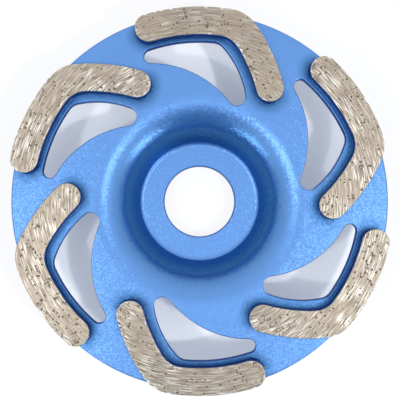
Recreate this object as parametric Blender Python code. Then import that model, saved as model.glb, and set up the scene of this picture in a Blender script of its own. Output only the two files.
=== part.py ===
"""Diamond cup wheel with elbow-shaped segments and leaf-shaped air slots.

Metres, +Z up. The wheel lies on the back face of its hub with the grinding
side on top, and the origin is the centre of that back face.

The steel cup is one turned profile with the slots cut through its ring.
Each segment is a separate solid brazed on the ring, so a thin braze seam
is left under it. The plan shapes are chains of arcs about known centres,
and every corner is rounded by an arc that is tangent to both neighbours.
"""

import math

import bmesh
import bpy
from mathutils import Vector

MM = 0.001

# Pattern
COPIES = 6
ELBOW_ANGLE = math.radians(137.6)

# Segments
GRIND_RADIUS = 57.5 * MM
SEGMENT_WIDTH = 8.2 * MM
SEGMENT_HEIGHT = 5.0 * MM
SEGMENT_EDGE = 0.25 * MM
BRAZE_SEAM = 0.3 * MM
RIM_ARM_LENGTH = 27.0 * MM
INNER_ARM_LENGTH = 21.0 * MM
INNER_ARM_BEND = 51.0 * MM
ELBOW_TURN = math.radians(39.5)
ELBOW_OUTER_RADIUS = 11.0 * MM
ELBOW_INNER_RADIUS = 7.5 * MM

# Slots
SLOT_RIM_LAND = 1.2 * MM
SLOT_ARM_LAND = 2.5 * MM
SLOT_ROOF_RADIUS = 29.2 * MM
SLOT_ROOF_TILT = math.radians(52.3)
SLOT_DEPTH = 11.7 * MM
SLOT_SKEW = math.radians(22.7)
SLOT_SWEEP_RADIUS = 29.7 * MM
SLOT_CORNER_RADIUS = 4.0 * MM
SLOT_RIM_TIP_RADIUS = 2.1 * MM
SLOT_CUP_TIP_RADIUS = 2.8 * MM

# Cup, as a turned section
BORE_DIAMETER = 22.23 * MM
HUB_THICKNESS = 7.0 * MM
CUP_DEPTH = 13.0 * MM
FLOOR_RADIUS = 18.3 * MM
WALL_SLOPE = math.radians(63.0)
WALL_THICKNESS = 3.5 * MM
RING_THICKNESS = 3.5 * MM
SEGMENT_OVERHANG = 0.9 * MM
HUB_SHOULDER = 3.5 * MM
LIP_RADIUS = 11.0 * MM
FLOOR_FILLET = 1.6 * MM
BACK_FILLET = 7.5 * MM
HUB_FILLET = 2.5 * MM
RIM_EDGE = 0.5 * MM
BORE_CHAMFER = 0.2 * MM
HUB_CHAMFER = 1.0 * MM

# Fineness of the facets
TURN_STEPS = 96
FILLET_STEP = math.radians(10.0)
LONG_FACET = 2.6 * MM
SHORT_FACET = 0.35 * MM
CUTTER_MARGIN = 2.0 * MM
SMOOTH_ANGLE = math.radians(32.0)
TOP_FACING = 0.5

# Heights that follow from the sizes above
RING_TOP = HUB_THICKNESS + CUP_DEPTH
RING_UNDERSIDE = RING_TOP - RING_THICKNESS
RIM_RADIUS = GRIND_RADIUS - SEGMENT_OVERHANG


def clear_scene():
    """Remove every object, so that the script can be run again."""
    for old in list(bpy.data.objects):
        bpy.data.objects.remove(old, do_unlink=True)


def plain_material(name, colour, roughness, metallic):
    """Return a Principled material of one colour."""
    material = bpy.data.materials.new(name)
    material.use_nodes = True
    shader = material.node_tree.nodes["Principled BSDF"]
    shader.inputs["Base Color"].default_value = (*colour, 1.0)
    shader.inputs["Roughness"].default_value = roughness
    shader.inputs["Metallic"].default_value = metallic
    material.diffuse_color = (*colour, 1.0)
    return material


def polar(radius, angle):
    """Return the plan point at a radius and an angle."""
    return Vector((radius * math.cos(angle), radius * math.sin(angle)))


class Arc:
    """A stretch of an outline about a centre: turn is +1 anticlockwise and -1 clockwise."""

    def __init__(self, centre, radius, turn):
        self.centre = centre
        self.radius = radius
        self.turn = turn


def crossing(first, first_radius, second, second_radius, side):
    """Return where two circles cross, on the left (+1) or right (-1) of the line of centres."""
    gap = second - first
    distance = gap.length
    along = (first_radius ** 2 - second_radius ** 2 + distance ** 2) / (2.0 * distance)
    across = math.sqrt(max(first_radius ** 2 - along ** 2, 0.0))
    ahead = gap / distance
    left = Vector((-ahead.y, ahead.x))
    return first + ahead * along + left * across * side


def corner_arc(before, after, radius, turn, side):
    """Return the arc of a given radius that is tangent to both of its neighbours."""
    reach = []
    for arc in (before, after):
        inward = arc.turn == turn
        reach.append(arc.radius - radius if inward else arc.radius + radius)
    centre = crossing(before.centre, reach[0], after.centre, reach[1], side)
    return Arc(centre, radius, turn)


def touch_point(first, second):
    """Return the point where two tangent arcs touch."""
    larger, smaller = (first, second) if first.radius > second.radius else (second, first)
    outward = (smaller.centre - larger.centre).normalized()
    return larger.centre + outward * larger.radius


def facet_count(radius, sweep):
    """Return how many straight facets stand for an arc."""
    step = min(FILLET_STEP, LONG_FACET / radius)
    step = max(step, SHORT_FACET / radius)
    return max(1, math.ceil(sweep / step))


def arc_points(arc, start, end):
    """Return the points of an arc from its start up to, but without, its end."""
    first = start - arc.centre
    last = end - arc.centre
    begin = math.atan2(first.y, first.x)
    sweep = (math.atan2(last.y, last.x) - begin) * arc.turn % math.tau
    count = facet_count(arc.radius, sweep)
    return [arc.centre + polar(arc.radius, begin + arc.turn * sweep * i / count)
            for i in range(count)]


def outline(arcs):
    """Return the closed outline of a ring of arcs that each touch the next one."""
    joints = [touch_point(arcs[i - 1], arcs[i]) for i in range(len(arcs))]
    points = []
    for i, arc in enumerate(arcs):
        points += arc_points(arc, joints[i], joints[(i + 1) % len(arcs)])
    return points


def arm_centre():
    """Return the centre about which the inner arm of a segment bends."""
    middle_radius = GRIND_RADIUS - SEGMENT_WIDTH / 2.0
    elbow = polar(middle_radius, ELBOW_ANGLE)
    heading = ELBOW_ANGLE - math.pi / 2.0 - ELBOW_TURN
    return elbow + polar(INNER_ARM_BEND, heading - math.pi / 2.0)


def segment_outline():
    """Return the plan of one segment: a rim arm, an elbow and an inner arm, with round ends."""
    axis = Vector((0.0, 0.0))
    bend = arm_centre()
    half = SEGMENT_WIDTH / 2.0
    middle_radius = GRIND_RADIUS - half
    elbow = polar(middle_radius, ELBOW_ANGLE) - bend
    arm_end_angle = math.atan2(elbow.y, elbow.x) - INNER_ARM_LENGTH / INNER_ARM_BEND
    rim_end_angle = ELBOW_ANGLE + RIM_ARM_LENGTH / middle_radius
    rim_outer = Arc(axis, GRIND_RADIUS, 1)
    rim_end = Arc(polar(middle_radius, rim_end_angle), half, 1)
    rim_inner = Arc(axis, GRIND_RADIUS - SEGMENT_WIDTH, -1)
    arm_inner = Arc(bend, INNER_ARM_BEND - half, -1)
    arm_end = Arc(bend + polar(INNER_ARM_BEND, arm_end_angle), half, 1)
    arm_outer = Arc(bend, INNER_ARM_BEND + half, 1)
    outer_corner = corner_arc(arm_outer, rim_outer, ELBOW_OUTER_RADIUS, 1, 1)
    inner_corner = corner_arc(rim_inner, arm_inner, ELBOW_INNER_RADIUS, -1, -1)
    return outline([rim_outer, rim_end, rim_inner, inner_corner,
                    arm_inner, arm_end, arm_outer, outer_corner])


def slot_outline():
    """Return the plan of one slot: a leaf that keeps a narrow land inside the elbow."""
    axis = Vector((0.0, 0.0))
    bend = arm_centre()
    rim_side = Arc(axis, GRIND_RADIUS - SEGMENT_WIDTH - SLOT_RIM_LAND, 1)
    arm_inner_radius = INNER_ARM_BEND - SEGMENT_WIDTH / 2.0
    roof_offset = arm_inner_radius - SLOT_ARM_LAND - SLOT_ROOF_RADIUS
    roof_centre = bend + polar(roof_offset, ELBOW_ANGLE - SLOT_ROOF_TILT)
    roof = Arc(roof_centre, SLOT_ROOF_RADIUS, 1)
    elbow = crossing(roof.centre, roof.radius, rim_side.centre, rim_side.radius, 1)
    inward = math.atan2(-elbow.y, -elbow.x) - SLOT_SKEW
    sweep = Arc(elbow + polar(SLOT_DEPTH + SLOT_SWEEP_RADIUS, inward), SLOT_SWEEP_RADIUS, -1)
    corner = corner_arc(roof, rim_side, SLOT_CORNER_RADIUS, 1, 1)
    rim_tip = corner_arc(rim_side, sweep, SLOT_RIM_TIP_RADIUS, 1, -1)
    cup_tip = corner_arc(sweep, roof, SLOT_CUP_TIP_RADIUS, 1, -1)
    return outline([rim_side, rim_tip, sweep, cup_tip, roof, corner])


def rounded_section(corners):
    """Return the section through corners (radius, height, fillet), with each fillet as an arc."""
    points = []
    for i, (x, z, fillet) in enumerate(corners):
        here = Vector((x, z))
        if fillet <= 0.0:
            points.append(here)
            continue
        back = (Vector(corners[i - 1][:2]) - here).normalized()
        ahead = (Vector(corners[(i + 1) % len(corners)][:2]) - here).normalized()
        half_angle = back.angle(ahead) / 2.0
        centre = here + (back + ahead).normalized() * fillet / math.sin(half_angle)
        start = back * fillet / math.tan(half_angle) + here - centre
        begin = math.atan2(start.y, start.x)
        sweep = math.copysign(math.pi - 2.0 * half_angle, ahead.cross(back))
        count = facet_count(fillet, abs(sweep))
        points += [centre + polar(fillet, begin + sweep * k / count) for k in range(count + 1)]
    return points


def chamfered(corner, before, after, size):
    """Return the two section corners of a chamfer that cuts one corner off."""
    here = Vector(corner)
    back = here + (Vector(before) - here).normalized() * size
    ahead = here + (Vector(after) - here).normalized() * size
    return [(back.x, back.y, 0.0), (ahead.x, ahead.y, 0.0)]


def cup_section():
    """Return the turned section of the cup, from the bore out along the grinding side."""
    bore = BORE_DIAMETER / 2.0
    run = 1.0 / math.tan(WALL_SLOPE)
    wall_offset = WALL_THICKNESS / math.sin(WALL_SLOPE)
    mouth = FLOOR_RADIUS + CUP_DEPTH * run
    back_corner = mouth + wall_offset - RING_THICKNESS * run
    hub = FLOOR_RADIUS + HUB_SHOULDER
    shoulder = HUB_THICKNESS - (wall_offset - HUB_SHOULDER) / run
    bore_top = (bore, HUB_THICKNESS)
    bore_back = (bore, 0.0)
    hub_back = (hub, 0.0)
    corners = []
    corners += chamfered(bore_top, bore_back, (FLOOR_RADIUS, HUB_THICKNESS), BORE_CHAMFER)
    corners.append((FLOOR_RADIUS, HUB_THICKNESS, FLOOR_FILLET))
    corners.append((mouth, RING_TOP, LIP_RADIUS))
    corners.append((RIM_RADIUS, RING_TOP, RIM_EDGE))
    corners.append((RIM_RADIUS, RING_UNDERSIDE, RIM_EDGE))
    corners.append((back_corner, RING_UNDERSIDE, BACK_FILLET))
    corners.append((hub, shoulder, HUB_FILLET))
    corners += chamfered(hub_back, (hub, shoulder), bore_back, HUB_CHAMFER)
    corners += chamfered(bore_back, hub_back, bore_top, BORE_CHAMFER)
    return rounded_section(corners)


def mesh_object(name, mesh_data, material):
    """Turn a bmesh into a smooth-shaded object with one material."""
    bmesh.ops.recalc_face_normals(mesh_data, faces=mesh_data.faces)
    mesh = bpy.data.meshes.new(name)
    mesh_data.to_mesh(mesh)
    mesh_data.free()
    mesh.shade_smooth()
    mesh.set_sharp_from_angle(angle=SMOOTH_ANGLE)
    mesh.materials.append(material)
    thing = bpy.data.objects.new(name, mesh)
    bpy.context.collection.objects.link(thing)
    return thing


def turned(name, section, material):
    """Spin a closed section once round the axis."""
    shape = bmesh.new()
    ring = [shape.verts.new((point.x, 0.0, point.y)) for point in section]
    edges = [shape.edges.new((ring[i - 1], ring[i])) for i in range(len(ring))]
    bmesh.ops.spin(shape, geom=ring + edges, axis=(0.0, 0.0, 1.0), cent=(0.0, 0.0, 0.0),
                   angle=math.tau, steps=TURN_STEPS, use_merge=True)
    return mesh_object(name, shape, material)


def prism(name, plan, low, high, material):
    """Raise a plan outline from one height to another."""
    shape = bmesh.new()
    base = shape.faces.new([shape.verts.new((point.x, point.y, low)) for point in plan])
    raised = bmesh.ops.extrude_face_region(shape, geom=[base])
    top = [item for item in raised["geom"] if isinstance(item, bmesh.types.BMVert)]
    bmesh.ops.translate(shape, verts=top, vec=(0.0, 0.0, high - low))
    return mesh_object(name, shape, material)


def soften_top(segment):
    """Give the ground face of a segment its small broken edge."""
    shape = bmesh.new()
    shape.from_mesh(segment.data)
    ground = max(shape.faces, key=lambda face: face.calc_center_median().z)
    bmesh.ops.bevel(shape, geom=list(ground.edges), offset=SEGMENT_EDGE, segments=1,
                    affect="EDGES")
    shape.to_mesh(segment.data)
    shape.free()


def paint_sides(segment, paint):
    """Put the paint on every face of a segment but its ground top."""
    segment.data.materials.append(paint)
    for face in segment.data.polygons:
        face.material_index = 0 if face.normal.z > TOP_FACING else 1


def make_cup(paint):
    """Make the steel cup and cut its ring of slots."""
    cup = turned("cup_body", cup_section(), paint)
    plan = slot_outline()
    for number in range(COPIES):
        cutter = prism(f"slot_cutter_{number + 1}", plan, -CUTTER_MARGIN,
                       RING_TOP + CUTTER_MARGIN, paint)
        cutter.rotation_euler.z = math.tau * number / COPIES
        cutter.hide_render = True
        cutter.display_type = "WIRE"
        cut = cup.modifiers.new(f"slot_{number + 1}", "BOOLEAN")
        cut.operation = "DIFFERENCE"
        cut.solver = "EXACT"
        cut.object = cutter
    return cup


def make_segments(matrix, paint):
    """Make the ring of segments, which share one mesh."""
    first = prism("segment_1", segment_outline(), RING_TOP + BRAZE_SEAM,
                  RING_TOP + SEGMENT_HEIGHT, matrix)
    soften_top(first)
    paint_sides(first, paint)
    for number in range(1, COPIES):
        copy = bpy.data.objects.new(f"segment_{number + 1}", first.data)
        copy.rotation_euler.z = math.tau * number / COPIES
        bpy.context.collection.objects.link(copy)


def main():
    clear_scene()
    paint = plain_material("blue_paint", (0.17, 0.39, 0.90), 0.38, 0.3)
    matrix = plain_material("segment_matrix", (0.50, 0.43, 0.34), 0.45, 0.8)
    make_cup(paint)
    make_segments(matrix, paint)


main()
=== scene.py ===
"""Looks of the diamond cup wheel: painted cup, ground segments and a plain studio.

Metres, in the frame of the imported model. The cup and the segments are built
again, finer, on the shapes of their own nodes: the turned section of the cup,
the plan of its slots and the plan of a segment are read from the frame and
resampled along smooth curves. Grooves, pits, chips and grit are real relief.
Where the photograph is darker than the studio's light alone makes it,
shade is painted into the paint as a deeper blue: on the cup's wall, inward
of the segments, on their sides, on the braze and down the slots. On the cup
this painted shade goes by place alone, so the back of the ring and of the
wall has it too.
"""

import math

import bmesh
import bpy
import numpy as np
from mathutils import Matrix, Vector, noise
from mathutils.geometry import delaunay_2d_cdt


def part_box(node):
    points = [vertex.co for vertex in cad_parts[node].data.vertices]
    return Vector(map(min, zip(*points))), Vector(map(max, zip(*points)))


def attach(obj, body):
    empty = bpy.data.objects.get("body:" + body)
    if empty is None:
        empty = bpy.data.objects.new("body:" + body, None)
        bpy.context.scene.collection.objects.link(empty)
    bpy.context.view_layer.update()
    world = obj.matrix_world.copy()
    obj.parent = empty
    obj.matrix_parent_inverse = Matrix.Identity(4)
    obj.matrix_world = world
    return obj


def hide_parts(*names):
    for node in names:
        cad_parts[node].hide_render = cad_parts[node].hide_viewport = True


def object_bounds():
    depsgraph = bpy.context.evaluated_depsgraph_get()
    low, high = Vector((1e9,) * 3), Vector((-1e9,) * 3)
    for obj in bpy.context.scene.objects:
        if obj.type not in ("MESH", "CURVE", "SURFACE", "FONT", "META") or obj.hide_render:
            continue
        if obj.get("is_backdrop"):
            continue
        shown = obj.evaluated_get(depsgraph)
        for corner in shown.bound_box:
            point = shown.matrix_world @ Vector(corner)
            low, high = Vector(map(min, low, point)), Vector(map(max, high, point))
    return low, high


MM = 0.001
SEED = 41
COPIES = 6

# The photograph's frame and the camera that took it
FRAME_LONG_SIDE = 408
SENSOR = 36.0
FOCAL_PIXELS = 943.0
CAMERA_PLACE = Vector((-2.4, -2.3, 303.0)) * MM
CAMERA_TARGET = Vector((-0.02, -0.88, 25.0)) * MM

# Reading the frame: UPRIGHT and LEVEL bound how much of a face's normal points up
WELD = 0.001 * MM
SEAM = 0.0001 * MM
NEARLY_LEVEL = 0.1 * MM
UPRIGHT = 0.1
LEVEL = 0.9
FLAT_TURN = math.radians(0.3)
SAME_RAY = math.radians(0.03)
CORNER_TURN = math.radians(20.0)
UNEVEN = 2.2

# Fineness and edges of the cup: the clearance of a grid point is a share of a cell
TURN_STEPS = 240
SECTION_STEP = 0.3 * MM
SUPPORT = 0.15 * MM
SUPPORTED_FROM = 4.0 * SUPPORT
PLAN_STEP = 0.5 * MM
SLOT_EDGE = 0.3 * MM
EDGE_STEPS = 4
HOLE_CLEARANCE = 0.6
PLAN_MERGE = 1e-9
OUTLINE_BATCH = 40
LIP_MARGIN = 0.9 * MM
RING_CELL = 0.6 * MM
BACK_CELL = 1.3 * MM
CUP_CREASE = math.radians(35.0)

# Painted shade, a darker blue in the paint: inward of the segments, down the slots, on the sides and
# the braze
RING_FROM = 30.0 * MM
PAINTED_SHADE_SHARE = 0.78
PAINTED_SHADE_FACING = (0.0, 0.5)
PAINTED_SHADE_REACH = (3.6 * MM, 1.0 * MM)
PAINTED_SHADE_SKIP = 3
SLOT_PAINTED_SHADE = 0.75
SIDE_PAINTED_SHADE = 0.5
BRAZE_PAINTED_SHADE = 0.65

# Painted shade on the cup's wall: a deeper blue, by height
WALL_SHADE_HEIGHTS = np.array([7.4, 8.2, 12.8, 14.8, 16.6, 17.3, 18.2, 19.3]) * MM
WALL_SHADE_SHARES = (0.0, 0.52, 0.73, 0.61, 0.24, 0.34, 0.23, 0.0)
WALL_SHADE_LOW = 9.0 * MM
WALL_SHADE_HIGH = 14.5 * MM

# Fineness of the segments
FACE_CELL = 0.13 * MM
FACE_STEP = 0.18 * MM
FACE_EDGE = 0.25 * MM
BRINK_CLEARANCE = 0.8
SIDE_ROWS = 9
SIDE_CROWDING = 1.8
SIDE_RIPPLE = 0.05 * MM
RIPPLE_SIZE = 0.7 * MM

# Wear of the ground faces: lengths run the way the wheel turns
GRAIN_RADIUS = 47.0 * MM
GRAIN_APART = 37.0
NOISE_CELLS = 160
WAVE = (5.0 * MM, 3.0 * MM, 0.012 * MM)
STREAK = (5.5 * MM, 0.44 * MM, 0.026 * MM)
FINE_STREAK = (2.2 * MM, 0.24 * MM, 0.012 * MM)
STREAKINESS = (1.08, 0.82, 0.92, 1.02, 1.08, 0.5)
GROOVES = 110
GROOVE_LENGTH = (0.8 * MM, 3.0 * MM)
GROOVE_WIDTH = (0.09 * MM, 0.2 * MM)
GROOVE_DEPTH = (0.012 * MM, 0.05 * MM)
GROOVE_SLANT = math.radians(4.0)
GROOVE_DARK = 0.6
PITS = 96
PIT_CLUSTERS = 4
CLUSTER_PITS = 4
CLUSTER_REACH = 0.9 * MM
PIT_RADIUS = (0.15 * MM, 0.35 * MM)
PIT_DEPTH = (0.08 * MM, 0.2 * MM)
PIT_CLEARANCE = 0.35 * MM
PIT_LOBES = 0.2
PIT_SHARPNESS = 2.5
CHIPS = 30
CHIP_RADIUS = (0.25 * MM, 0.8 * MM)
CHIP_DEPTH = (0.06 * MM, 0.24 * MM)
CHIP_SHIFT = 0.6
CHIP_REACH = 0.4 * MM
CHIP_PALE = 0.09 * MM

# Bare strip at the top of a segment's painted sides
BARE_STRIP = 0.45 * MM
BARE_RAGGED = 0.22 * MM
RAGGED_SIZE = 0.5 * MM

# Grit left in some of the pits
GRIT_SHARE = 0.3
GRIT_SIZE = 0.8
GRIT_SINK = 0.01 * MM
GRIT_BLUNT = (0.7, 1.0)

# Braze and paint round the foot of a segment
BRAZE_REACH = 0.3 * MM
BRAZE_RISE = 0.35 * MM
BRAZE_TUCK = 0.5 * MM
BRAZE_SINK = 0.02 * MM
BRAZE_STEPS = 5
BRAZE_UNEVEN = 0.3
BRAZE_WAVE = 1.5 * MM
RIM_CLEARANCE = 0.55 * MM

# Paint: its blues, the darker blues of its painted shade, and its metal flakes
PAINT = {"Metallic": 0.92, "Roughness": 0.3, "Specular Tint": (0.04, 0.15, 0.32, 1.0),
         "Coat Weight": 0.1, "Coat Roughness": 0.25}
PAINT_BLUES = ((0.113, 0.272, 0.63), (0.129, 0.302, 0.68))
PAINT_CLOUD = 7.0 * MM
PAINTED_SHADE_BLUE = (0.004, 0.080, 0.200)
WALL_SHADE_BLUES = ((0.004, 0.165, 0.150), (0.010, 0.120, 0.220))
FLAKE_BLUE = (0.23, 0.5, 1.0)
FLAKE_SIZE = 0.3 * MM
FLAKE_TILT = 0.14
FLAKE_BRIGHT = 0.16

# Ground metal bond: cells of its streaks in millimetres along and across the grain, and its tones
BOND = {"Metallic": 0.85, "Roughness": 0.42, "Anisotropic": 0.75}
BOND_STREAK = (4.2, 0.3)
BOND_SCRATCH = (1.6, 0.1)
SCRATCH_HEIGHT = 0.02 * MM
SCRATCH_STRENGTH = 0.8
BOND_TONES = ((0.34, (0.21, 0.175, 0.135)), (0.63, (0.98, 0.92, 0.84)), (0.50, (0.43, 0.375, 0.30)))
STREAKY_PER_MM = 0.16
STREAKY_TONES = ((0.42, (0.35, 0.35, 0.35)), (0.58, (0.95, 0.95, 0.95)))
CALM_TONE = (0.40, 0.335, 0.26)
CHIPPED_TONE = (0.66, 0.64, 0.62)
CUT_TONE = (0.15, 0.117, 0.09)

# Grit in the pits
GRIT = {"Roughness": 0.2}
GRIT_SPOT = 0.8 * MM
GRIT_TONES = ((0.03, 0.028, 0.024), (0.16, 0.14, 0.09))

# Studio
FLOOR = {"Base Color": (0.84, 0.84, 0.84, 1.0), "Roughness": 0.9}
FLOOR_SIZE = 3.0
FLOOR_DROP = 0.05 * MM
FLOOR_SCALE = 0.1
FLOOR_BLEND = 2.0 * MM
FLOOR_WHITE = 0.85
# painted shade: the share of the floor's white glow left in a ring under the wheel
FLOOR_UNDER_SHADE = 0.2
DOME_TINT = (0.93, 1.0, 1.16)
DOME_LEVELS = (0.4, 0.86)
DOME_HEIGHTS = (0.05, 0.7)
PATCH_TINT = (0.18, 0.34, 0.5)
PATCH_NARROWING = 3.0
PATCH_FADE = (-0.7, -0.3)
BORE_RADIUS = 11.1 * MM
LAMP_DISTANCE = 0.75

# Lamps: azimuth and elevation in degrees, width and length in metres, radiance, and whether
# reflections show them
LAMPS = {
    "right_softbox": (-20.0, 67.0, 0.22, 0.2, 3.7, True),
    "left_softbox": (204.0, 67.0, 0.22, 0.2, 4.0, True),
    "low_right_softbox": (-45.0, 16.0, 0.27, 0.22, 4.2, True),
    "low_left_softbox": (228.0, 12.0, 0.27, 0.22, 3.7, True),
    "right_lamp": (-29.0, 63.4, 0.045, 0.045, 300.0, False),
    "left_lamp": (209.0, 63.4, 0.045, 0.045, 190.0, False),
}


def frame_bounds():
    """Return the shown object's box as plain lists."""
    bpy.context.view_layer.update()
    return [list(corner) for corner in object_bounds()]


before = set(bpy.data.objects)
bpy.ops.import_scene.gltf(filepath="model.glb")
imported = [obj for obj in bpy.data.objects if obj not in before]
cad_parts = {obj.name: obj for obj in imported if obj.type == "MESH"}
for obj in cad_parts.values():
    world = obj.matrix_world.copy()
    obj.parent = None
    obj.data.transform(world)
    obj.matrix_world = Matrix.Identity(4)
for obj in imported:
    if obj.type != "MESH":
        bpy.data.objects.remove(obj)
cad_box = frame_bounds()


# Outlines


def angle_between(first, second):
    """Return the signed turn from one plan direction to another."""
    return math.atan2(first.cross(second), first.dot(second))


def without_flat_points(points):
    """Return a closed outline without the points that lie along its straight facets."""
    kept = []
    for i, here in enumerate(points):
        back = here - points[i - 1]
        ahead = points[(i + 1) % len(points)] - here
        if abs(angle_between(back, ahead)) > FLAT_TURN:
            kept.append(here)
    return kept


def turned_by(direction, angle):
    """Return a plan direction turned anticlockwise by an angle."""
    return Vector((direction.x * math.cos(angle) - direction.y * math.sin(angle),
                   direction.x * math.sin(angle) + direction.y * math.cos(angle)))


def heading(back, ahead):
    """Return the directions of a smooth curve as it reaches and leaves a point between facets.

    A facet far longer than its neighbour is taken as straight.
    """
    turn = angle_between(back, ahead)
    if abs(turn) > CORNER_TURN:
        return back.normalized(), ahead.normalized()
    if back.length > UNEVEN * ahead.length:
        share = 0.0
    elif ahead.length > UNEVEN * back.length:
        share = 1.0
    else:
        share = back.length / (back.length + ahead.length)
    along = turned_by(back.normalized(), turn * share)
    return along, along


def straight_shares(length):
    """Return where to put points on a long straight stretch: its start and just inside its ends."""
    if length < SUPPORTED_FROM:
        return [0.0]
    return [0.0, SUPPORT / length, 1.0 - SUPPORT / length]


def resampled(points, step, closed=True):
    """Return an outline through the given points, on smooth curves with a point every step."""
    count = len(points)
    spans = count if closed else count - 1
    facets = [points[(i + 1) % count] - points[i] for i in range(spans)]
    result = []
    for i in range(spans):
        before = facets[i - 1] if closed or i > 0 else facets[i]
        after = facets[(i + 1) % spans] if closed or i < spans - 1 else facets[i]
        start, end = points[i], points[(i + 1) % count]
        leave = heading(before, facets[i])[1] * facets[i].length
        reach = heading(facets[i], after)[0] * facets[i].length
        bent = abs(angle_between(leave, facets[i])) + abs(angle_between(facets[i], reach))
        pieces = max(1, round(facets[i].length / step))
        shares = [k / pieces for k in range(pieces)]
        if bent < FLAT_TURN and not closed:
            shares = straight_shares(facets[i].length)
        for t in shares:
            result.append(start * (1 + 2 * t) * (1 - t) ** 2 + leave * t * (1 - t) ** 2
                          + end * t * t * (3 - 2 * t) + reach * t * t * (t - 1))
    if not closed:
        result.append(points[-1])
    return result


def as_array(points):
    """Return plan points as an array."""
    return np.array([tuple(point) for point in points])


def outward_normals(points):
    """Return the unit normals of a closed anticlockwise outline, as an array."""
    array = as_array(points)
    along = np.roll(array, -1, axis=0) - np.roll(array, 1, axis=0)
    normals = np.stack([along[:, 1], -along[:, 0]], axis=1)
    return normals / np.linalg.norm(normals, axis=1)[:, None]


def anticlockwise(points):
    """Return the outline in anticlockwise order."""
    area = sum(points[i - 1].cross(points[i]) for i in range(len(points)))
    return points if area > 0 else points[::-1]


def chained(edges):
    """Return the closed loops of points that some edges make."""
    links = {}
    for edge in edges:
        for vert in edge.verts:
            links.setdefault(vert, []).append(edge.other_vert(vert))
    loops = []
    while links:
        first = next(iter(links))
        loop = [first]
        here = links.pop(first)[0]
        while here is not first:
            loop.append(here)
            ways = links.pop(here)
            here = ways[1] if ways[0] is loop[-2] else ways[0]
        loops.append([vert.co.copy() for vert in loop])
    return loops


def welded(node):
    """Return the mesh of a node with its split corners joined again."""
    shape = bmesh.new()
    shape.from_mesh(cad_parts[node].data)
    bmesh.ops.remove_doubles(shape, verts=shape.verts, dist=WELD)
    return shape


def turned_section(shape):
    """Return the cup's section (radius, height), read at an angle where no slot cuts it."""
    rays = {}
    for edge in shape.edges:
        low, high = (math.atan2(vert.co.y, vert.co.x) for vert in edge.verts)
        if abs(low - high) < SAME_RAY:
            rays.setdefault(round(math.degrees(low), 1), []).append(edge)
    for edges in rays.values():
        ends = [vert for edge in edges for vert in edge.verts]
        if len(set(ends)) == len(edges) and all(ends.count(vert) == 2 for vert in ends):
            loop = chained(edges)[0]
            return anticlockwise([Vector((point.xy.length, point.z)) for point in loop])
    raise ValueError("no angle of the cup shows its whole section")


def slot_plans(shape, height):
    """Return the plan of each slot, read from the sharp edges round it on the ring."""
    rims = []
    for edge in shape.edges:
        level = all(abs(vert.co.z - height) < NEARLY_LEVEL for vert in edge.verts)
        wall, floor = sorted(abs(face.normal.z) for face in edge.link_faces)
        if level and wall < UPRIGHT and floor > LEVEL:
            rims.append(edge)
    plans = []
    for loop in chained(rims):
        plan = without_flat_points([point.xy for point in loop])
        plans.append(anticlockwise(plan))
    return plans


# Meshes


class Build:
    """Points, faces, finish of each face and marks of each point of a piece."""

    def __init__(self):
        self.verts = []
        self.faces = []
        self.finish = []
        self.marks = {}

    def add(self, points, faces, finish=None, marks=None):
        """Add a surface, with the number of each face's material and named values of each point."""
        start = sum(len(block) for block in self.verts)
        self.verts.append(points)
        self.faces.append(np.asarray(faces) + start)
        self.finish.append(np.zeros(len(faces), int) if finish is None else finish)
        for name, values in (marks or {}).items():
            self.marks.setdefault(name, []).append(values)

    def add_rows(self, rows, finish=None, marks=None):
        """Add a surface of closed rows, each as long as the others."""
        self.add(rows.reshape(-1, 3), strips(rows.shape[0], rows.shape[1]), finish, marks)

    def piece(self, name, materials):
        """Make the object: joined where its surfaces meet, smooth, and riding on the wheel."""
        mesh = bpy.data.meshes.new(name)
        verts = np.concatenate(self.verts)
        corners = [face for block in self.faces for face in block.tolist()]
        mesh.from_pydata(verts.tolist(), [], corners)
        mesh.polygons.foreach_set("material_index", np.concatenate(self.finish))
        for mark, blocks in self.marks.items():
            values = np.concatenate(blocks)
            kind = "FLOAT" if values.ndim == 1 else "FLOAT_VECTOR"
            layer = mesh.attributes.new(mark, kind, "POINT")
            layer.data.foreach_set("value" if values.ndim == 1 else "vector", values.ravel())
        for material in materials:
            mesh.materials.append(material)
        shape = bmesh.new()
        shape.from_mesh(mesh)
        bmesh.ops.remove_doubles(shape, verts=shape.verts, dist=SEAM)
        bmesh.ops.recalc_face_normals(shape, faces=shape.faces)
        shape.to_mesh(mesh)
        shape.free()
        mesh.shade_smooth()
        thing = bpy.data.objects.new(name, mesh)
        bpy.context.scene.collection.objects.link(thing)
        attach(thing, "root")
        return thing


def strips(row_count, length):
    """Return the quads between rows of points that each close on themselves."""
    faces = []
    for r in range(row_count - 1):
        for i in range(length):
            j = (i + 1) % length
            low = r * length
            high = low + length
            faces.append((low + i, low + j, high + j, high + i))
    return faces


def inside(points, loop):
    """Return which points lie inside a closed outline."""
    ring = as_array(loop)
    result = np.zeros(len(points), bool)
    for (ax, ay), (bx, by) in zip(ring, np.roll(ring, -1, axis=0)):
        spans = (ay > points[:, 1]) != (by > points[:, 1])
        if spans.any():
            cut = ax + (points[:, 1] - ay) * (bx - ax) / (by - ay if by != ay else 1.0)
            result ^= spans & (points[:, 0] < cut)
    return result


def distance_to(points, loop):
    """Return how far each point lies from the points of an outline."""
    nearest = np.full(len(points), np.inf)
    for part in np.array_split(as_array(loop), max(1, len(loop) // OUTLINE_BATCH)):
        gaps = np.linalg.norm(points[:, None, :] - part[None, :, :], axis=2)
        nearest = np.minimum(nearest, gaps.min(axis=1))
    return nearest


def hex_grid(low, high, cell):
    """Return a triangular grid of plan points over a box."""
    rows = np.arange(low[1], high[1], cell * math.sqrt(0.75))
    points = []
    for k, y in enumerate(rows):
        xs = np.arange(low[0] + (k % 2) * cell / 2.0, high[0], cell)
        points.append(np.stack([xs, np.full(len(xs), y)], axis=1))
    return np.concatenate(points)


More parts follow.
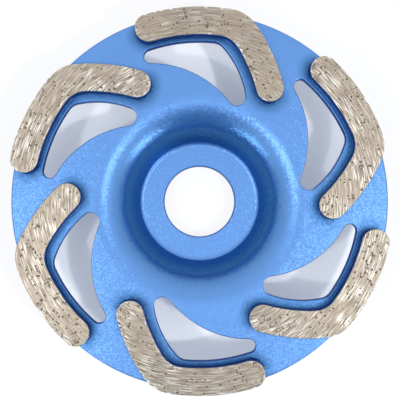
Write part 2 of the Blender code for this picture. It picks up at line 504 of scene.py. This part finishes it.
def triangulated(loops, inner_points):
    """Return the points and triangles of a plan region: first loop outside, the others as holes."""
    points = [tuple(p) for loop in loops for p in loop]
    edges = []
    start = 0
    for loop in loops:
        edges += [(start + i, start + (i + 1) % len(loop)) for i in range(len(loop))]
        start += len(loop)
    points += [tuple(p) for p in inner_points]
    found = delaunay_2d_cdt([Vector(p) for p in points], edges, [], 0, PLAN_MERGE)
    plan = as_array(found[0])
    faces = np.array([tuple(f) for f in found[2]])
    middle = plan[faces].mean(axis=1)
    keep = inside(middle, loops[0])
    for hole in loops[1:]:
        keep &= ~inside(middle, hole)
    return plan, faces[keep]


# The cup


def section_chains(section):
    """Split the cup's section at its two flat ring faces into an inner and an outer chain."""
    count = len(section)
    spans = [(section[(i + 1) % count] - section[i], i) for i in range(count)]
    level = [(abs(step.x), i) for step, i in spans if abs(step.y) < WELD]
    _, first = max(level)
    _, second = max(pair for pair in level if pair[1] != first)
    cuts = sorted((first, second))
    one = [section[i] for i in range(cuts[0] + 1, cuts[1] + 1)]
    two = [section[i % count] for i in range(cuts[1] + 1, cuts[0] + count + 1)]
    inner, outer = sorted((one, two), key=lambda chain: min(point.x for point in chain))
    inward = Vector((SUPPORT, 0.0))
    return inner, [outer[0] - inward] + outer + [outer[-1] - inward]


def cut_back(chain, radius):
    """Cut both ends of the inner chain back to a radius, and return what is cut off them too."""
    ends = []
    for _ in range(2):
        kept = next(i for i, point in enumerate(chain) if point.x <= radius)
        share = (radius - chain[kept].x) / (chain[kept - 1].x - chain[kept].x)
        cut = chain[kept].lerp(chain[kept - 1], share)
        ends.append([cut] + chain[:kept][::-1])
        chain = ([cut] + chain[kept:])[::-1]
    return chain, ends


def spun(chain):
    """Return rows of points that turn an open section chain round the axis."""
    turn = np.arange(TURN_STEPS) * math.tau / TURN_STEPS
    return np.array([np.stack([p.x * np.cos(turn), p.x * np.sin(turn), np.full(TURN_STEPS, p.y)],
                              axis=1) for p in chain])


def ring_circle(radius):
    """Return a circle of plan points that matches the spun rows."""
    turn = np.arange(TURN_STEPS) * math.tau / TURN_STEPS
    return [Vector((radius * math.cos(a), radius * math.sin(a))) for a in turn]


def heights(plan, face):
    """Return the height of a ring face over plan points, where its lip falls away too."""
    order = sorted((point.x, point.y) for point in face)
    return np.interp(np.linalg.norm(plan, axis=1), *zip(*order))


def quarter_turn(steps):
    """Return the angles of a quarter turn in equal steps, with both its ends."""
    return [k / steps * math.pi / 2.0 for k in range(steps + 1)]


def slot_wall_rows(plan, faces):
    """Return rows down the wall of a slot, rolled over at both of its edges."""
    outline = resampled(plan, PLAN_STEP)
    flat = as_array(outline)
    normals = outward_normals(outline)
    edge = [(SLOT_EDGE + SUPPORT, 0.0)]
    edge += [(SLOT_EDGE * (1.0 - math.sin(roll)), SLOT_EDGE * (1.0 - math.cos(roll)))
             for roll in quarter_turn(EDGE_STEPS)]
    rows = []
    for face, way, profile in zip(faces, (-1.0, 1.0), (edge, edge[::-1])):
        for reach, drop in profile:
            ring = flat + normals * reach
            rows.append(np.column_stack([ring, heights(ring, face) + way * drop]))
    return np.array(rows)


def thinned(points, plan, low, high, rim):
    """Return the share of painted shade on the cup: inward of the segments and down the slots.

    This goes by place alone, so the back of the ring has the same bands as its front.
    """
    outward = (plan.outline * plan.normals).sum(axis=1) / np.linalg.norm(plan.outline, axis=1)
    reaches = np.interp(outward, PAINTED_SHADE_FACING, PAINTED_SHADE_REACH)[::PAINTED_SHADE_SKIP]
    near = np.zeros(len(points))
    for copy in range(COPIES):
        outline = turned_points(plan.outline[::PAINTED_SHADE_SKIP], math.tau * copy / COPIES)
        for place, reach in zip(outline, reaches):
            near = np.maximum(near, 1.0 - np.linalg.norm(points[:, :2] - place, axis=1) / reach)
    radius = np.linalg.norm(points[:, :2], axis=1)
    levels = (low + SUPPORT, low + 2.0 * SLOT_EDGE, high - 2.0 * SLOT_EDGE, high - SUPPORT)
    slots = np.interp(points[:, 2], levels, (0.0, SLOT_PAINTED_SHADE, SLOT_PAINTED_SHADE, 0.0))
    slots = np.where(radius < rim - RIM_CLEARANCE, slots, 0.0)
    return np.where(radius > RING_FROM, np.maximum(PAINTED_SHADE_SHARE * near, slots), 0.0)


def painted_wall_shade(points):
    """Return the share of painted shade, a deeper blue, at points of the cup: on both sides of its
    wall.
    """
    share = np.interp(points[:, 2], WALL_SHADE_HEIGHTS, WALL_SHADE_SHARES)
    return np.where(np.linalg.norm(points[:, :2], axis=1) > RING_FROM, 0.0, share)


def make_cup(material, segments):
    """Build the painted cup on the section and slot plans of its node."""
    shape = welded("cup_body")
    section = without_flat_points(turned_section(shape))
    slots = slot_plans(shape, max(point.y for point in section))
    shape.free()
    inner, outer = [resampled(chain, SECTION_STEP, False) for chain in section_chains(section)]
    lip = min(point.length for plan in slots for point in plan) - LIP_MARGIN
    inner, faces = cut_back(inner, lip)
    faces.sort(key=lambda face: -face[-1].y)
    rim = outer[0].x
    for face in faces:
        face.append(Vector((rim, face[-1].y)))
    build = Build()
    build.add_rows(spun(inner))
    build.add_rows(spun(outer))
    walls = [slot_wall_rows(plan, faces) for plan in slots]
    for wall in walls:
        build.add_rows(wall)
    for face, row, cell in zip(faces, (0, -1), (RING_CELL, BACK_CELL)):
        holes = [[Vector(p[:2]) for p in wall[row]] for wall in walls]
        grid = hex_grid((-rim, -rim), (rim, rim), cell)
        radius = np.linalg.norm(grid, axis=1)
        grid = grid[(radius > lip + cell / 2.0) & (radius < rim - cell / 2.0)]
        for hole in holes:
            clear = distance_to(grid, hole) > cell * HOLE_CLEARANCE
            grid = grid[clear & ~inside(grid, hole)]
        plan, triangles = triangulated([ring_circle(rim), ring_circle(lip)] + holes, grid)
        build.add(np.column_stack([plan, heights(plan, face)]), triangles)
    high, low = [face[-1].y for face in faces]
    # painted shade, a darker blue inward of the segments and down the slots
    build.marks["thin"] = [thinned(block, segments, low, high, rim) for block in build.verts]
    # painted shade on both sides of the cup's wall, a deeper blue by height
    build.marks["deep"] = [painted_wall_shade(block) for block in build.verts]
    cup = build.piece("painted_cup", [material])
    cup.data.set_sharp_from_angle(angle=CUP_CREASE)
    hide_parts("cup_body")


# The segments


class Noise:
    """Smooth noise between -1 and 1, whose cells have a length of their own each way."""

    def __init__(self, rng, length, width):
        self.table = rng.uniform(-1.0, 1.0, (NOISE_CELLS, NOISE_CELLS))
        self.cell = (length, width)

    def at(self, u, v):
        """Return the noise at places along and across the grain."""
        lows, shares = [], []
        for place, size in zip((u, v), self.cell):
            low = np.floor(place / size)
            share = place / size - low
            lows.append(low.astype(int))
            shares.append(share * share * (3 - 2 * share))
        around = [[self.table[(lows[0] + i) % NOISE_CELLS, (lows[1] + j) % NOISE_CELLS]
                   for i in (0, 1)] for j in (0, 1)]
        near = around[0][0] * (1 - shares[0]) + around[0][1] * shares[0]
        far = around[1][0] * (1 - shares[0]) + around[1][1] * shares[0]
        return near * (1 - shares[1]) + far * shares[1]


def rough_at(points, size, seed):
    """Return noise between -1 and 1 at points in space, without a seam."""
    return np.array([noise.noise(Vector(p) / size + Vector((0.0, 0.0, seed))) for p in points])


def turned_points(points, angle):
    """Return points turned about the axis, plan points or points in space."""
    turned = np.array(points, float)
    c, s = math.cos(angle), math.sin(angle)
    turned[..., 0] = points[..., 0] * c - points[..., 1] * s
    turned[..., 1] = points[..., 0] * s + points[..., 1] * c
    return turned


def polar_of(points):
    """Return how far round the wheel and how far out points lie."""
    radius = np.linalg.norm(points[..., :2], axis=-1)
    return np.arctan2(points[..., 1], points[..., 0]) * GRAIN_RADIUS, radius


class SegmentPlan:
    """Plan of the segments, read from the first: outline, its normals, and a fine grid inside."""

    def __init__(self, node):
        shape = welded(node)
        self.top = max(vert.co.z for vert in shape.verts)
        self.foot = min(vert.co.z for vert in shape.verts)
        at_foot = [edge for edge in shape.edges
                   if all(abs(vert.co.z - self.foot) < WELD for vert in edge.verts)
                   and min(abs(face.normal.z) for face in edge.link_faces) < UPRIGHT]
        loop = anticlockwise(without_flat_points([point.xy for point in chained(at_foot)[0]]))
        shape.free()
        outline = resampled(loop, FACE_STEP)
        self.outline = as_array(outline)
        self.normals = outward_normals(outline)
        brink = self.outline - self.normals * FACE_EDGE
        grid = hex_grid(brink.min(axis=0), brink.max(axis=0), FACE_CELL)
        grid = grid[inside(grid, brink)]
        grid = grid[distance_to(grid, brink) > FACE_CELL * BRINK_CLEARANCE]
        self.grid, self.triangles = triangulated([brink], grid)
        self.edge_gap = distance_to(self.grid, self.outline)
        self.base = triangulated([self.outline], [])


class Wear:
    """The marks on one ground face, and how deep they lie at any place."""

    def __init__(self, plan, rng, streakiness):
        u, v = polar_of(plan.grid)
        self.layers = [(Noise(rng, length, width), height * streakiness)
                       for length, width, height in (WAVE, STREAK, FINE_STREAK)]
        self.grooves = [(u[k], v[k], rng.uniform(*GROOVE_LENGTH), rng.uniform(*GROOVE_WIDTH),
                         rng.uniform(*GROOVE_DEPTH), rng.uniform(-1.0, 1.0) * GROOVE_SLANT)
                        for k in rng.integers(len(u), size=GROOVES)]
        clear = np.flatnonzero(plan.edge_gap > PIT_CLEARANCE)
        centres = [plan.grid[k] for k in rng.choice(clear, PITS)]
        for k in rng.choice(clear, PIT_CLUSTERS):
            near = np.linalg.norm(plan.grid[clear] - plan.grid[k], axis=1) < CLUSTER_REACH
            centres += [plan.grid[j] for j in rng.choice(clear[near], CLUSTER_PITS)]
        self.pits = [(centre, rng.uniform(*PIT_RADIUS), rng.uniform(*PIT_DEPTH),
                      rng.uniform(0.0, math.tau, 2)) for centre in centres]
        self.chips = [(plan.outline[k], rng.uniform(*CHIP_RADIUS), rng.uniform(*CHIP_DEPTH))
                      for k in rng.integers(len(plan.outline), size=CHIPS)]

    def chipped(self, points):
        """Return how deep the chips of the edge reach at plan points."""
        depth = np.zeros(len(points))
        for centre, radius, deep in self.chips:
            near = np.linalg.norm(points - centre, axis=1) / radius
            depth = np.maximum(depth, deep * np.clip(1.0 - near ** 2, 0.0, 1.0))
        return depth

    def pitted(self, points):
        """Return how deep the pits are at plan points, and how far into a pit each point lies."""
        depth = np.zeros(len(points))
        share = np.zeros(len(points))
        widest = 1.0 + 2.0 * PIT_LOBES
        for centre, radius, deep, phase in self.pits:
            off = points - centre
            close = np.linalg.norm(off, axis=1) < widest * radius
            way = np.arctan2(off[close, 1], off[close, 0])
            lobes = np.sin(2 * way + phase[0]) + np.sin(3 * way + phase[1])
            reach = radius * (1.0 + PIT_LOBES * lobes)
            near = np.linalg.norm(off[close], axis=1) / reach
            fall = np.clip(1.0 - near ** 2, 0.0, 1.0)
            depth[close] = np.maximum(depth[close], deep * np.sqrt(fall))
            share[close] = np.maximum(share[close], np.clip(PIT_SHARPNESS * fall, 0.0, 1.0))
        return depth, share

    def scratched(self, points):
        """Return how deep the waves, streaks and grooves lie at plan points, and how dark they are."""
        u, v = polar_of(points)
        depth = sum(height * (1.0 + layer.at(u, v)) for layer, height in self.layers)
        dark = np.zeros(len(points))
        for at_u, at_v, half, width, deep, slant in self.grooves:
            along = np.clip(1.0 - ((u - at_u) / half) ** 2, 0.0, 1.0)
            across = np.clip(1.0 - ((v - at_v - slant * (u - at_u)) / width) ** 2, 0.0, 1.0)
            depth = depth + deep * np.sqrt(along) * across
            dark = np.maximum(dark, GROOVE_DARK * np.sqrt(along) * across * deep / GROOVE_DEPTH[1])
        return depth, dark

    def at(self, points):
        """Return how far plan points lie under the ground plane, how dark and how pale they are."""
        pit, hole = self.pitted(points)
        cut, scored = self.scratched(points)
        chip = self.chipped(points)
        return pit + cut + chip, np.maximum(hole, scored), np.clip(chip / CHIP_PALE, 0.0, 1.0)


def edge_rows(plan, wear):
    """Return the rows that round a segment's top edge off, from its side up, and its wear."""
    shift = wear.chipped(plan.outline) * CHIP_SHIFT
    rows, darks, pales = [], [], []
    for lean in quarter_turn(EDGE_STEPS):
        inward = FACE_EDGE * (1.0 - math.cos(lean)) + shift * math.cos(lean)
        flat = plan.outline - plan.normals * inward[:, None]
        depth, dark, pale = wear.at(flat)
        rows.append(np.column_stack([flat, plan.top - FACE_EDGE * (1.0 - math.sin(lean)) - depth]))
        darks.append(dark)
        pales.append(pale)
    return np.array(rows), np.concatenate(darks), np.concatenate(pales), shift


def side_rows(plan, edge, shift, seed):
    """Return the rows up a segment's side, slightly rough, and how bare of paint each point is."""
    shares = 1.0 - (1.0 - np.linspace(0.0, 1.0, SIDE_ROWS + 1)) ** SIDE_CROWDING
    rows, bare = [], []
    for share in shares:
        z = plan.foot + (edge[:, 2] - plan.foot) * share
        place = np.column_stack([plan.outline, z])
        rough = SIDE_RIPPLE * (0.5 + 0.5 * rough_at(place, RIPPLE_SIZE, seed))
        below = edge[:, 2] - z
        rough = rough * np.clip(below / CHIP_REACH, 0.0, 1.0)
        inward = rough + shift * np.clip(1.0 - below / CHIP_REACH, 0.0, 1.0)
        flat = plan.outline - plan.normals * inward[:, None]
        rows.append(np.column_stack([flat, z]))
        limit = BARE_STRIP + BARE_RAGGED * rough_at(place, RAGGED_SIZE, seed)
        bare.append((plan.top - z < limit + shift).astype(float))
    return np.array(rows), np.concatenate(bare)


def grain_of(points, number):
    """Return the place of each point along the grinding marks, in millimetres."""
    u, v = polar_of(points)
    return np.column_stack([u / MM, v / MM, np.full(len(u), number * GRAIN_APART)])


def make_segment(plan, number, angle, materials):
    """Build one segment: worn ground face, rounded and chipped edge, rough painted sides."""
    rng = np.random.default_rng(SEED + number)
    streakiness = STREAKINESS[number - 1]
    wear = Wear(plan, rng, streakiness)
    build = Build()

    def add(points, faces, bare, dark=None, pale=None):
        """Add a surface with its marks, bare metal where most of a face's points are bare."""
        marks = {
            "grain": grain_of(points, number),
            "streaks": np.full(len(points), streakiness),
            # painted shade: a darker blue on the painted sides
            "thin": np.full(len(points), SIDE_PAINTED_SHADE),
            "dark": np.zeros(len(points)) if dark is None else dark,
            "pale": np.zeros(len(points)) if pale is None else pale,
        }
        painted = (bare[np.asarray(faces)].mean(axis=1) < 0.5).astype(int)
        build.add(turned_points(points, angle), faces, painted, marks)

    edge, dark, pale, shift = edge_rows(plan, wear)
    points = edge.reshape(-1, 3)
    add(points, strips(*edge.shape[:2]), np.ones(len(points)), dark, pale)
    side, bare = side_rows(plan, edge[0], shift, number * GRAIN_APART)
    add(side.reshape(-1, 3), strips(*side.shape[:2]), bare)
    depth, dark, pale = wear.at(plan.grid)
    points = np.column_stack([plan.grid, plan.top - depth])
    add(points, plan.triangles, np.ones(len(depth)), dark, pale)
    flat, triangles = plan.base
    add(np.column_stack([flat, np.full(len(flat), plan.foot)]), triangles, np.zeros(len(flat)))
    segment = build.piece(f"ground_segment_{number}", materials)
    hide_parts(f"segment_{number}")
    return wear


def make_grit(plan, wear, number, angle, material):
    """Set small blunt crystals into some of the pits of a segment."""
    rng = np.random.default_rng(SEED * number)
    seed = bmesh.new()
    bmesh.ops.create_icosphere(seed, subdivisions=1, radius=1.0)
    ball = np.array([tuple(vert.co) for vert in seed.verts])
    faces = np.array([[vert.index for vert in face.verts] for face in seed.faces])
    seed.free()
    build = Build()
    for centre, radius, _, _ in wear.pits:
        if rng.uniform() > GRIT_SHARE:
            continue
        size = radius * GRIT_SIZE
        crystal = ball * rng.uniform(*GRIT_BLUNT, (len(ball), 1)) * size
        middle = np.array([*centre, plan.top - size - GRIT_SINK])
        build.add(turned_points(crystal + middle, angle), faces)
    build.piece(f"grit_{number}", [material]).data.shade_flat()


def make_braze(plan, ring_top, rim, number, angle, material):
    """Lay the painted braze under and round the foot of a segment, as far as the ring reaches."""
    across = (plan.outline * plan.normals).sum(axis=1)
    away = (plan.outline ** 2).sum(axis=1)
    limit = np.sqrt(across ** 2 + (rim - RIM_CLEARANCE) ** 2 - away) - across
    place = np.column_stack([plan.outline, np.full(len(plan.outline), ring_top)])
    uneven = 1.0 + BRAZE_UNEVEN * rough_at(place, BRAZE_WAVE, number * GRAIN_APART)
    reach = np.minimum(BRAZE_REACH * uneven, limit)
    free = np.clip(reach / BRAZE_REACH, 0.0, 1.0)
    rise = plan.foot - ring_top + BRAZE_RISE * uneven * free
    low = ring_top - BRAZE_SINK
    profile = []
    for lean in quarter_turn(BRAZE_STEPS):
        profile.append((reach - BRAZE_REACH * math.sin(lean), low + rise * (1.0 - math.cos(lean))))
    tucked = reach - BRAZE_REACH - BRAZE_TUCK
    profile.append((tucked, np.full(len(reach), (plan.foot + ring_top) / 2.0)))
    profile.append((tucked, np.full(len(reach), low)))
    profile.append(profile[0])
    rows = [np.column_stack([plan.outline + plan.normals * out[:, None], z]) for out, z in profile]
    build = Build()
    # painted shade on the braze round the segment's foot
    thin = {"thin": np.full(len(rows) * len(reach), BRAZE_PAINTED_SHADE)}
    build.add_rows(turned_points(np.array(rows), angle), marks=thin)
    build.piece(f"braze_{number}", [material])


# Materials


def new_material(name, settings):
    """Return a material, its nodes, its links and its shader with the given settings."""
    material = bpy.data.materials.new(name)
    material.use_nodes = True
    tree = material.node_tree
    shader = tree.nodes["Principled BSDF"]
    for label, value in settings.items():
        shader.inputs[label].default_value = value
    return material, tree.nodes, tree.links, shader


def noise_node(nodes, links, place, scale, detail):
    """Return the value of a noise texture at a place."""
    texture = nodes.new("ShaderNodeTexNoise")
    texture.inputs["Scale"].default_value = scale
    texture.inputs["Detail"].default_value = detail
    links.new(place, texture.inputs["Vector"])
    return texture.outputs["Fac"]


def stretched(nodes, links, place, length, width):
    """Return a place scaled so that noise there has cells of a given length and width."""
    mapping = nodes.new("ShaderNodeMapping")
    mapping.inputs["Scale"].default_value = (1.0 / length, 1.0 / width, 1.0)
    links.new(place, mapping.inputs["Vector"])
    return mapping.outputs["Vector"]


def bump_node(nodes, links, height, distance, strength):
    """Return the normal of a surface with some relief added."""
    bump = nodes.new("ShaderNodeBump")
    bump.inputs["Distance"].default_value = distance
    bump.inputs["Strength"].default_value = strength
    links.new(height, bump.inputs["Height"])
    return bump.outputs["Normal"]


def maths(nodes, links, operation, first, second):
    """Return the result of one step of arithmetic, the second value linked or constant."""
    step = nodes.new("ShaderNodeMath")
    step.operation = operation
    links.new(first, step.inputs[0])
    if isinstance(second, float):
        step.inputs[1].default_value = second
    else:
        links.new(second, step.inputs[1])
    return step.outputs[0]


def vector_node(nodes, links, operation, first, second):
    """Return the result of one step of vector arithmetic, the second value linked or constant."""
    step = nodes.new("ShaderNodeVectorMath")
    step.operation = operation
    links.new(first, step.inputs[0])
    if isinstance(second, tuple):
        step.inputs[1].default_value = second
    elif second is not None:
        links.new(second, step.inputs[1])
    return step.outputs["Vector"]


def flaked(nodes, links, place, size, tilt):
    """Return the normal of small flakes, each tilted a little its own way, and their random tone."""
    cells = nodes.new("ShaderNodeTexVoronoi")
    cells.inputs["Scale"].default_value = 1.0 / size
    links.new(place, cells.inputs["Vector"])
    centred = vector_node(nodes, links, "SUBTRACT", cells.outputs["Color"], (0.5, 0.5, 0.5))
    lean = vector_node(nodes, links, "MULTIPLY", centred, (tilt, tilt, tilt))
    straight = nodes.new("ShaderNodeNewGeometry").outputs["Normal"]
    leaning = vector_node(nodes, links, "ADD", straight, lean)
    return vector_node(nodes, links, "NORMALIZE", leaning, None), cells.outputs["Color"]


def ramp_node(nodes, links, value, stops):
    """Return the colour that a value picks between stops (place, colour)."""
    ramp = nodes.new("ShaderNodeValToRGB")
    elements = ramp.color_ramp.elements
    for number, (place, colour) in enumerate(stops):
        element = elements[number] if number < 2 else elements.new(place)
        element.position = place
        element.color = (*colour, 1.0)
    links.new(value, ramp.inputs["Fac"])
    return ramp.outputs["Color"]


def mixed(nodes, links, factor, first, second):
    """Return a mix of two colours, each an output of a node or a plain colour."""
    mix = nodes.new("ShaderNodeMix")
    mix.data_type = "RGBA"
    links.new(factor, mix.inputs["Factor"])
    for colour, socket in ((first, mix.inputs[6]), (second, mix.inputs[7])):
        if isinstance(colour, tuple):
            socket.default_value = (*colour, 1.0)
        else:
            links.new(colour, socket)
    return mix.outputs[2]


def attribute(nodes, name):
    """Return the node that reads a value that a mesh holds."""
    node = nodes.new("ShaderNodeAttribute")
    node.attribute_name = name
    return node


def paint_material():
    """Satin metallic blue paint with a fine sparkling grain, and shade painted in as darker blue where
    a mesh says so.
    """
    material, nodes, links, shader = new_material("blue_paint", PAINT)
    place = nodes.new("ShaderNodeTexCoord").outputs["Object"]
    cloud = noise_node(nodes, links, place, 1.0 / PAINT_CLOUD, 3.0)
    colour = mixed(nodes, links, cloud, *PAINT_BLUES)
    # painted shade: a darker blue inward of the segments, down the slots, on the segments' sides and
    # the braze
    thin = attribute(nodes, "thin").outputs["Fac"]
    colour = mixed(nodes, links, thin, colour, PAINTED_SHADE_BLUE)
    # painted shade on the cup's wall: a deeper blue, greener low down and bluer higher up
    deep = attribute(nodes, "deep").outputs["Fac"]
    level = nodes.new("ShaderNodeSeparateXYZ")
    links.new(place, level.inputs[0])
    climb = nodes.new("ShaderNodeMapRange")
    climb.inputs["From Min"].default_value = WALL_SHADE_LOW
    climb.inputs["From Max"].default_value = WALL_SHADE_HIGH
    links.new(level.outputs["Z"], climb.inputs["Value"])
    wall = mixed(nodes, links, climb.outputs["Result"], *WALL_SHADE_BLUES)
    colour = mixed(nodes, links, deep, colour, wall)
    normal, tone = flaked(nodes, links, place, FLAKE_SIZE, FLAKE_TILT)
    bright = maths(nodes, links, "MULTIPLY", tone, FLAKE_BRIGHT)
    colour = mixed(nodes, links, bright, colour, FLAKE_BLUE)
    links.new(colour, shader.inputs["Base Color"])
    links.new(normal, shader.inputs["Normal"])
    return material


def ground_metal():
    """Metal bond ground bare: light and dark streaks round the wheel, fine scratches, dark pits."""
    material, nodes, links, shader = new_material("ground_metal", BOND)
    grain = attribute(nodes, "grain").outputs["Vector"]
    streak = noise_node(nodes, links, stretched(nodes, links, grain, *BOND_STREAK), 1.0, 3.0)
    fine = noise_node(nodes, links, stretched(nodes, links, grain, *BOND_SCRATCH), 1.0, 2.0)
    colour = ramp_node(nodes, links, streak, BOND_TONES)
    area = noise_node(nodes, links, grain, STREAKY_PER_MM, 1.0)
    streaky = ramp_node(nodes, links, area, STREAKY_TONES)
    share = maths(nodes, links, "MULTIPLY", streaky, attribute(nodes, "streaks").outputs["Fac"])
    share = maths(nodes, links, "MINIMUM", share, 1.0)
    colour = mixed(nodes, links, share, CALM_TONE, colour)
    pale = attribute(nodes, "pale").outputs["Fac"]
    colour = mixed(nodes, links, pale, colour, CHIPPED_TONE)
    dark = attribute(nodes, "dark").outputs["Fac"]
    colour = mixed(nodes, links, dark, colour, CUT_TONE)
    links.new(colour, shader.inputs["Base Color"])
    relief = bump_node(nodes, links, fine, SCRATCH_HEIGHT, SCRATCH_STRENGTH)
    links.new(relief, shader.inputs["Normal"])
    place = nodes.new("ShaderNodeTexCoord").outputs["Object"]
    outward = vector_node(nodes, links, "MULTIPLY", place, (1.0, 1.0, 0.0))
    links.new(vector_node(nodes, links, "NORMALIZE", outward, None), shader.inputs["Tangent"])
    return material


def grit_material():
    """Dark glassy grit, each crystal a little different."""
    material, nodes, links, shader = new_material("dark_grit", GRIT)
    place = nodes.new("ShaderNodeTexCoord").outputs["Object"]
    tone = noise_node(nodes, links, place, 1.0 / GRIT_SPOT, 0.0)
    colour = mixed(nodes, links, tone, *GRIT_TONES)
    links.new(colour, shader.inputs["Base Color"])
    return material


# Stage, light and camera


def make_floor(rim, bore):
    """Lay the pale floor, which the camera sees as all but white, with its white cut back in a ring
    under the wheel: a painted shade through which its real shadow shows.
    """
    material, nodes, links, shader = new_material("pale_floor", FLOOR)
    place = nodes.new("ShaderNodeTexCoord").outputs["Object"]
    reach = nodes.new("ShaderNodeVectorMath")
    reach.operation = "LENGTH"
    links.new(place, reach.inputs[0])
    # painted shade: between bore and rim the white glow falls to a fifth of its share
    levels = ((0.0, 1.0), (bore, 1.0), (bore + FLOOR_BLEND, FLOOR_UNDER_SHADE),
              (rim - FLOOR_BLEND, FLOOR_UNDER_SHADE), (rim, 1.0))
    stops = [(radius / FLOOR_SCALE, (level, level, level)) for radius, level in levels]
    scaled = maths(nodes, links, "DIVIDE", reach.outputs["Value"], FLOOR_SCALE)
    shown = ramp_node(nodes, links, scaled, stops)
    path = nodes.new("ShaderNodeLightPath")
    seen = maths(nodes, links, "MAXIMUM", path.outputs["Is Camera Ray"], path.outputs["Is Glossy Ray"])
    seen = maths(nodes, links, "MULTIPLY", seen, shown)
    share = maths(nodes, links, "MULTIPLY", seen, FLOOR_WHITE)
    white = nodes.new("ShaderNodeEmission")
    both = nodes.new("ShaderNodeMixShader")
    links.new(share, both.inputs[0])
    links.new(shader.outputs[0], both.inputs[1])
    links.new(white.outputs[0], both.inputs[2])
    links.new(both.outputs[0], nodes["Material Output"].inputs["Surface"])
    bpy.ops.mesh.primitive_plane_add(size=FLOOR_SIZE, location=(0.0, 0.0, -FLOOR_DROP))
    floor = bpy.context.object
    floor.name = "floor"
    floor.data.materials.append(material)
    floor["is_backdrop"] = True


def softbox(name, azimuth, elevation, width, length, radiance, mirrored):
    """Hang one soft lamp that points at the wheel: its width lies level."""
    data = bpy.data.lights.new(name, "AREA")
    data.shape = "RECTANGLE"
    data.size = width
    data.size_y = length
    data.energy = radiance * math.pi * width * length
    lamp = bpy.data.objects.new(name, data)
    a, e = math.radians(azimuth), math.radians(elevation)
    away = Vector((math.cos(a) * math.cos(e), math.sin(a) * math.cos(e), math.sin(e)))
    lamp.location = away * LAMP_DISTANCE
    lamp.rotation_euler = away.to_track_quat("Z", "Y").to_euler()
    lamp.visible_camera = False
    lamp.visible_glossy = mirrored
    bpy.context.scene.collection.objects.link(lamp)


def make_world():
    """White to look at and in reflections, but for a dim bluish patch there, and a dome of light."""
    world = bpy.data.worlds.new("studio")
    world.use_nodes = True
    bpy.context.scene.world = world
    nodes, links = world.node_tree.nodes, world.node_tree.links
    way = nodes.new("ShaderNodeTexCoord").outputs["Generated"]
    part = nodes.new("ShaderNodeSeparateXYZ")
    links.new(way, part.inputs[0])
    dome = nodes.new("ShaderNodeMapRange")
    dome.interpolation_type = "SMOOTHSTEP"
    dome.inputs["From Min"].default_value, dome.inputs["From Max"].default_value = DOME_HEIGHTS
    dome.inputs["To Min"].default_value, dome.inputs["To Max"].default_value = DOME_LEVELS
    links.new(part.outputs["Z"], dome.inputs["Value"])
    narrow = vector_node(nodes, links, "MULTIPLY", way, (PATCH_NARROWING, 1.0, 1.0))
    turned = nodes.new("ShaderNodeSeparateXYZ")
    links.new(vector_node(nodes, links, "NORMALIZE", narrow, None), turned.inputs[0])
    shade = nodes.new("ShaderNodeMapRange")
    shade.interpolation_type = "SMOOTHSTEP"
    shade.inputs["From Min"].default_value, shade.inputs["From Max"].default_value = PATCH_FADE
    links.new(turned.outputs["Y"], shade.inputs["Value"])
    path = nodes.new("ShaderNodeLightPath")
    plain = maths(nodes, links, "MAXIMUM",
                  path.outputs["Is Camera Ray"], path.outputs["Is Transmission Ray"])
    shade = maths(nodes, links, "MAXIMUM", shade.outputs["Result"], plain)
    seen = maths(nodes, links, "MAXIMUM", plain, path.outputs["Is Glossy Ray"])
    strength = nodes.new("ShaderNodeMix")
    strength.inputs["B"].default_value = 1.0
    links.new(seen, strength.inputs["Factor"])
    links.new(dome.outputs["Result"], strength.inputs["A"])
    links.new(strength.outputs["Result"], nodes["Background"].inputs["Strength"])
    tint = mixed(nodes, links, seen, DOME_TINT, (1.0, 1.0, 1.0))
    shaded = mixed(nodes, links, shade, PATCH_TINT, (1.0, 1.0, 1.0))
    tint = vector_node(nodes, links, "MULTIPLY", tint, shaded)
    links.new(tint, nodes["Background"].inputs["Color"])


def make_camera():
    """Put the camera where the photograph was taken from, almost straight above the wheel."""
    data = bpy.data.cameras.new("camera")
    data.sensor_width = SENSOR
    data.lens = FOCAL_PIXELS / FRAME_LONG_SIDE * SENSOR
    camera = bpy.data.objects.new("camera", data)
    back = (CAMERA_PLACE - CAMERA_TARGET).normalized()
    right = Vector((0.0, 1.0, 0.0)).cross(back).normalized()
    up = back.cross(right)
    turn = Matrix((right, up, back)).transposed().to_4x4()
    camera.matrix_world = Matrix.Translation(CAMERA_PLACE) @ turn
    bpy.context.scene.collection.objects.link(camera)
    bpy.context.scene.camera = camera


paint = paint_material()
metal = ground_metal()
grit = grit_material()
ring_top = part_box("cup_body")[1].z
rim_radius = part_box("cup_body")[1].x

segment_plan = SegmentPlan("segment_1")
make_cup(paint, segment_plan)
for copy in range(COPIES):
    turn = math.tau * copy / COPIES
    worn = make_segment(segment_plan, copy + 1, turn, [metal, paint])
    make_grit(segment_plan, worn, copy + 1, turn, grit)
    make_braze(segment_plan, ring_top, rim_radius, copy + 1, turn, paint)

make_floor(rim_radius, BORE_RADIUS)
for lamp_name, lamp_settings in LAMPS.items():
    softbox(lamp_name, *lamp_settings)
make_world()
make_camera()
bpy.context.scene.view_settings.view_transform = "Standard"

dressed_box = frame_bounds()
